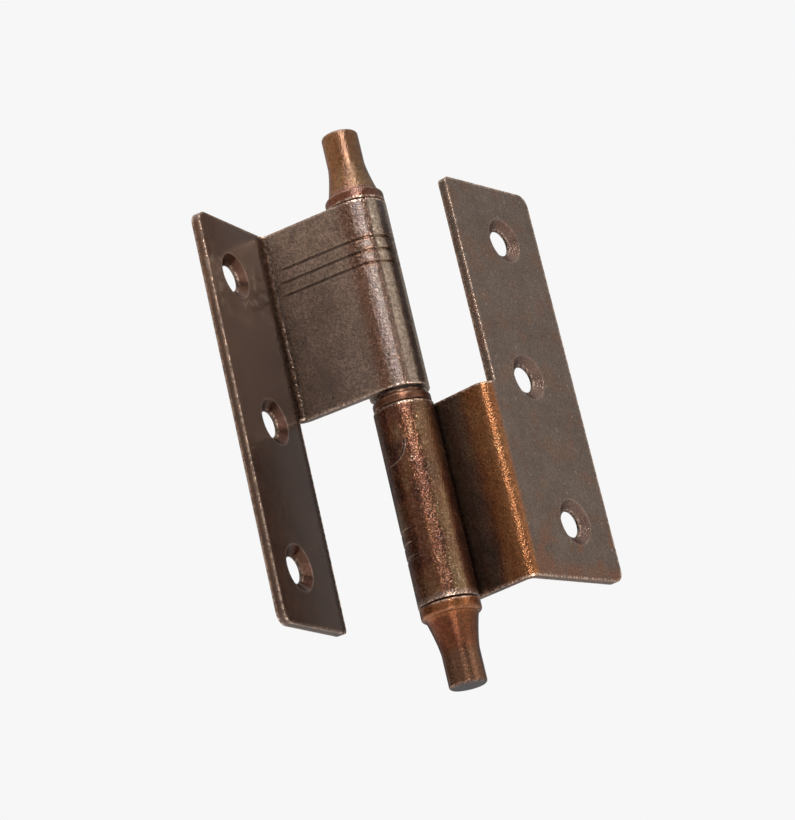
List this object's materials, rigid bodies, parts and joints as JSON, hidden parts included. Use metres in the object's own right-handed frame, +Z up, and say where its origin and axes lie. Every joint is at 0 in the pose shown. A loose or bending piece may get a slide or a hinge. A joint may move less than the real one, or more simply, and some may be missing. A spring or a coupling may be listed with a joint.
{
  "type": "lift-off cabinet hinge",
  "caption": "Lift-off cabinet hinge: two right-angle cranked sheet leaves with countersunk screw holes, rolled knuckles on a standing pin, a bearing washer and turned finials.",
  "frame": {"origin": "on the screw face of the lower leaf's flange, 5 mm from its bend and at half the leaf's height", "axes": "+Z up along the pin, towards the upper leaf; +Y out of the lower leaf's screw face, into the panel it is screwed to; +X along that face away from the knuckle"},
  "size_m": [0.0648, 0.0349, 0.1105],
  "materials": {
    "lower_leaf": "steel sheet, antique copper plating",
    "upper_leaf": "steel sheet, antique copper plating, darker",
    "hinge_pin": "plain turned steel",
    "bearing_washer": "turned steel, antique copper plating worn bright",
    "lower_finial": "turned steel, antique copper plating",
    "upper_finial": "turned steel, antique copper plating"
  },
  "bodies": {
    "frame_side": {"lower_leaf": "lower_leaf", "hinge_pin": "hinge_pin", "lower_finial": "lower_finial"},
    "washer": {"bearing_washer": "bearing_washer"},
    "door_side": {"upper_leaf": "upper_leaf", "upper_finial": "upper_finial"}
  },
  "joints": [
    {"name": "swing", "type": "hinge", "parent": "frame_side", "child": "washer", "pos_m": [-0.01075, 0.015, 0], "axis": [0, 0, 1], "range_deg": [-163, 169]},
    {"name": "lift_off", "type": "slide", "parent": "washer", "child": "door_side", "axis": [0, 0, 1], "range_m": [0, 0.04]}
  ]
}
